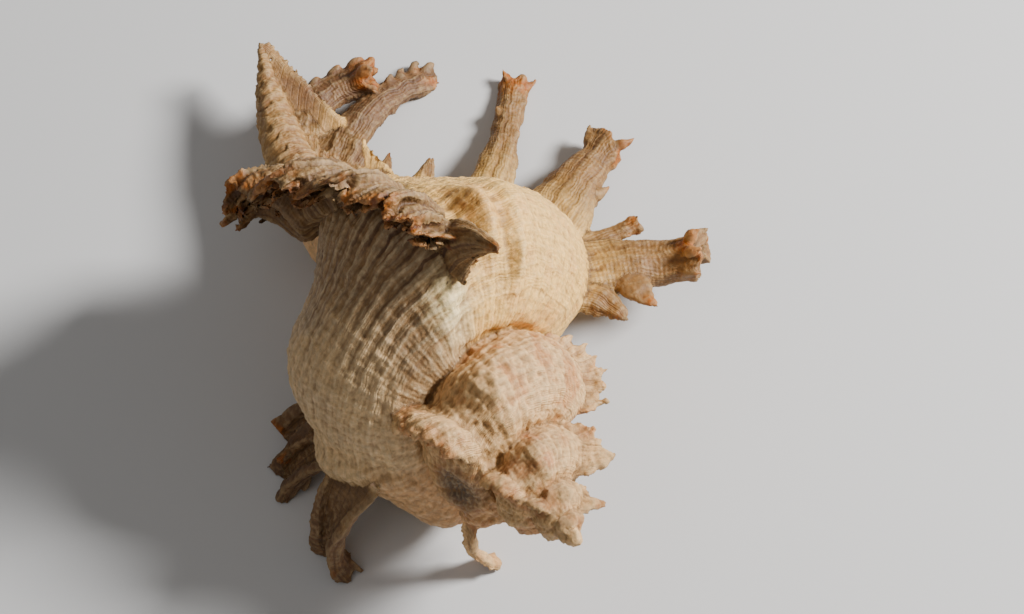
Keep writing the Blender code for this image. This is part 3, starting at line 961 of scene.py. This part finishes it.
    # warmer pale parts, darker fronds, and stronger colour all over
    pale = np.clip(fresh + leafy + spire, 0, 1)[:, None]
    base *= 1 - pale * (0.04, 0.12, 0.25)
    base *= 1 - 0.32 * (leafy * last)[:, None]
    mean = base.mean(1)[:, None]
    base = (mean + 1.30 * (base - mean)) * 0.90
    return np.clip(base, 0, 1), lines


class Nodes:
    """Short ways to add shader nodes."""

    def __init__(self, tree):
        self.tree = tree

    def link(self, value, socket):
        if isinstance(value, (int, float)):
            socket.default_value = value
        else:
            self.tree.links.new(value, socket)

    def attribute(self, name, kind="Fac"):
        node = self.tree.nodes.new("ShaderNodeAttribute")
        node.attribute_name = name
        return node.outputs[kind]

    def math(self, operation, a, b=0.0):
        node = self.tree.nodes.new("ShaderNodeMath")
        node.operation = operation
        for value, socket in zip((a, b), node.inputs):
            self.link(value, socket)
        return node.outputs[0]

    def noise(self, vector, scale, detail=4.0, roughness=0.6):
        node = self.tree.nodes.new("ShaderNodeTexNoise")
        node.inputs["Scale"].default_value = scale
        node.inputs["Detail"].default_value = detail
        node.inputs["Roughness"].default_value = roughness
        self.link(vector, node.inputs["Vector"])
        return node.outputs["Fac"]

    def ramp(self, value, low, high, out_low=0.0, out_high=1.0):
        node = self.tree.nodes.new("ShaderNodeMapRange")
        node.interpolation_type = "SMOOTHSTEP"
        self.link(value, node.inputs["Value"])
        limits = {"From Min": low, "From Max": high, "To Min": out_low, "To Max": out_high}
        for name, number in limits.items():
            node.inputs[name].default_value = number
        return node.outputs["Result"]

    def mix(self, amount, a, b, blend="MIX"):
        node = self.tree.nodes.new("ShaderNodeMix")
        node.data_type = "RGBA"
        node.blend_type = blend
        self.link(amount, node.inputs[0])
        for value, socket in ((a, node.inputs[6]), (b, node.inputs[7])):
            if isinstance(value, tuple):
                socket.default_value = (*value, 1.0)
            else:
                self.link(value, socket)
        return node.outputs[2]


def shell_material():
    """The painted tint, broken by brown lines along the cords, grain and fine relief."""
    material = bpy.data.materials.new("weathered_shell")
    material.use_nodes = True
    tree = material.node_tree
    surface = tree.nodes["Principled BSDF"]
    n = Nodes(tree)
    place = tree.nodes.new("ShaderNodeTexCoord").outputs["Object"]
    grain = n.noise(place, 900.0, 5.0, 0.65)
    drift = n.noise(place, 220.0, 3.0, 0.5)
    cord = n.math("ADD", n.attribute("cord"), n.math("MULTIPLY", drift, 2.2))
    thread = n.math("SINE", n.math("MULTIPLY", cord, 2 * math.pi / 1.5))
    broad = n.math("SINE", n.math("MULTIPLY", cord, 2 * math.pi / 3.4))
    band = n.math("ADD", n.math("MULTIPLY", thread, 0.55), n.math("MULTIPLY", broad, 0.45))
    line = n.ramp(n.math("ADD", band, n.math("MULTIPLY", grain, 0.9)), 0.55, 1.25)
    striae = n.math("SINE", n.math("MULTIPLY", cord, 2 * math.pi / 0.55))
    along = n.math("ADD", n.attribute("along"), drift)
    rings = n.math("SINE", n.math("MULTIPLY", along, 2 * math.pi / 0.9))
    dirty = n.math("MULTIPLY", line, n.attribute("lines"))
    tint = n.attribute("tint", "Color")
    lined = n.mix(1.0, tint, LINE_SHADE, "MULTIPLY")
    colour = n.mix(n.math("MULTIPLY", dirty, 0.95), tint, lined)
    shade = n.ramp(grain, 0.3, 0.7, 0.72, 1.12)
    grey = tree.nodes.new("ShaderNodeCombineColor")
    for socket in grey.inputs[:3]:
        n.link(shade, socket)
    colour = n.mix(1.0, colour, grey.outputs[0], "MULTIPLY")
    tree.links.new(colour, surface.inputs["Base Color"])
    surface.inputs["Roughness"].default_value = 0.62
    surface.inputs["Subsurface Weight"].default_value = 0.06
    surface.inputs["Subsurface Radius"].default_value = (0.003, 0.0015, 0.0008)
    height = n.math("ADD", n.math("MULTIPLY", striae, 0.16), n.math("MULTIPLY", rings, 0.14))
    height = n.math("ADD", height, n.math("MULTIPLY", grain, 1.6))
    height = n.math("ADD", height, n.math("MULTIPLY", line, -0.35))
    bump = tree.nodes.new("ShaderNodeBump")
    bump.inputs["Strength"].default_value = 0.75
    bump.inputs["Distance"].default_value = 0.00022
    tree.links.new(height, bump.inputs["Height"])
    tree.links.new(bump.outputs["Normal"], surface.inputs["Normal"])
    return material


def place_in_world(points):
    turn = np.array(to_world())
    return (points @ turn.T + np.array(APEX_PLACE)) * MM


def make_objects():
    """The shell's skin in PIECES slices along the table, each under its own name."""
    points, quads, edges, values = build_shell()
    points = carved(points, quads, values)
    tint, lines = painted(points, quads, edges, values)
    tint = np.hstack([tint, np.ones((len(tint), 1))])
    world = place_in_world(points)
    world[:, 2] = np.maximum(world[:, 2], 0.0)
    normal = normals_of(world, quads)
    material = shell_material()
    middles = world[quads].mean(1)[:, 1]
    limits = np.quantile(middles, np.linspace(0, 1, PIECES + 1))
    for k in range(PIECES):
        upper = middles <= limits[k + 1] if k == PIECES - 1 else middles < limits[k + 1]
        chosen = quads[(middles >= limits[k]) & upper]
        used, faces = np.unique(chosen, return_inverse=True)
        name = "shell_%d" % (k + 1)
        mesh = mesh_from(name, world[used], faces.reshape(-1, 4))
        layer = mesh.color_attributes.new("tint", "FLOAT_COLOR", "POINT")
        layer.data.foreach_set("color", tint[used].astype(np.float32).ravel())
        patterns = {"cord": values[:, CORD], "along": values[:, ALONG], "lines": lines}
        for attribute_name, data in patterns.items():
            attribute = mesh.attributes.new(attribute_name, "FLOAT", "POINT")
            attribute.data.foreach_set("value", data[used].astype(np.float32))
        mesh.polygons.foreach_set("use_smooth", np.ones(len(mesh.polygons), bool))
        mesh.normals_split_custom_set_from_vertices(normal[used])
        mesh.materials.append(material)
        piece = bpy.data.objects.new(name, mesh)
        bpy.context.scene.collection.objects.link(piece)
        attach(piece, "root")
        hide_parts("murex_shell")


# The photograph's view. The shell's axis leans towards the camera by AXIS_TILT and its canal end points
# at AXIS_IN_PICTURE in the picture. APEX_IN_PICTURE is the apex in pixels, and mm towards the camera.
PICTURE_SIZE = (1024, 614)
SENSOR = 36.0
CAMERA_DISTANCE = 600.0
MM_PER_PIXEL = 0.2
AXIS_TILT, AXIS_IN_PICTURE = 35.0, 129.0
APEX_IN_PICTURE = (583.0, 548.0, 45.0)


def camera_axes():
    """The camera's right, up and back directions, in the shell's frame, as a matrix's rows."""
    tilt, turn = math.radians(AXIS_TILT), math.radians(AXIS_IN_PICTURE)
    along = np.array([math.cos(turn), math.sin(turn), 0])
    apex = -math.cos(tilt) * along + np.array([0, 0, math.sin(tilt)])
    zero = np.array([math.cos(turn - math.pi / 2), math.sin(turn - math.pi / 2), 0])
    ninety = np.cross(apex, zero)
    return np.stack([zero, ninety, apex], 1)


def make_camera():
    """Sets up the camera and returns the matrix that turns its directions into the world's."""
    axes = camera_axes()
    x, y, depth = APEX_IN_PICTURE
    scale = MM_PER_PIXEL * (CAMERA_DISTANCE - depth) / CAMERA_DISTANCE
    apex = np.array([(x - PICTURE_SIZE[0] / 2) * scale, (PICTURE_SIZE[1] / 2 - y) * scale, depth])
    place = (np.array([0, 0, CAMERA_DISTANCE]) - apex) @ axes
    turn = np.array(to_world())
    camera = bpy.data.cameras.new("camera")
    camera.sensor_width = SENSOR
    camera.lens = SENSOR * CAMERA_DISTANCE / (PICTURE_SIZE[0] * MM_PER_PIXEL)
    camera.clip_start = 0.01
    thing = bpy.data.objects.new("camera", camera)
    bpy.context.scene.collection.objects.link(thing)
    rotation = Matrix((turn @ axes.T).tolist()).to_4x4()
    thing.matrix_world = Matrix.Translation(Vector(place_in_world(place[None])[0])) @ rotation
    bpy.context.scene.camera = thing
    return turn @ axes.T


# Floor and lights, in metres and watts. A light has a direction in the camera's frame, its distance, size
# and power.
FLOOR_HALF_SIDE = 3
LIGHTS = {
    "key": ((0.85, 0.45, 0.42), 0.9, 0.28, 21.0),
    "fill": ((-0.4, 0.1, 1.0), 1.1, 0.9, 1.6),
}
LIGHT_AIM = (0, 0, 0.03)
STUDIO_STRENGTH = 0.17


def make_floor():
    far = FLOOR_HALF_SIDE
    corners = [(-far, -far, 0), (far, -far, 0), (far, far, 0), (-far, far, 0)]
    mesh = mesh_from("floor", corners, [(0, 1, 2, 3)])
    floor = bpy.data.objects.new("floor", mesh)
    bpy.context.scene.collection.objects.link(floor)
    material = bpy.data.materials.new("floor")
    material.use_nodes = True
    surface = material.node_tree.nodes["Principled BSDF"]
    surface.inputs["Base Color"].default_value = (*FLOOR_GREY, 1)
    surface.inputs["Roughness"].default_value = 0.9
    mesh.materials.append(material)


def area_light(name, direction, distance, size, power):
    light = bpy.data.lights.new(name, "AREA")
    light.shape = "DISK"
    light.size = size
    light.energy = power
    thing = bpy.data.objects.new(name, light)
    bpy.context.scene.collection.objects.link(thing)
    direction = Vector(direction).normalized()
    thing.location = Vector(LIGHT_AIM) + direction * distance
    thing.rotation_mode = "QUATERNION"
    thing.rotation_quaternion = direction.to_track_quat("Z", "Y")


def make_lights(view):
    """view turns camera directions into world ones."""
    turn = Matrix(view.tolist())
    for name, (direction, distance, size, power) in LIGHTS.items():
        area_light(name, turn @ Vector(direction), distance, size, power)
    world = bpy.data.worlds.new("studio")
    world.use_nodes = True
    background = world.node_tree.nodes["Background"]
    background.inputs["Color"].default_value = (1, 1, 1, 1)
    background.inputs["Strength"].default_value = STUDIO_STRENGTH
    bpy.context.scene.world = world


make_objects()
view_axes = make_camera()
make_floor()
make_lights(view_axes)
bpy.context.view_layer.update()
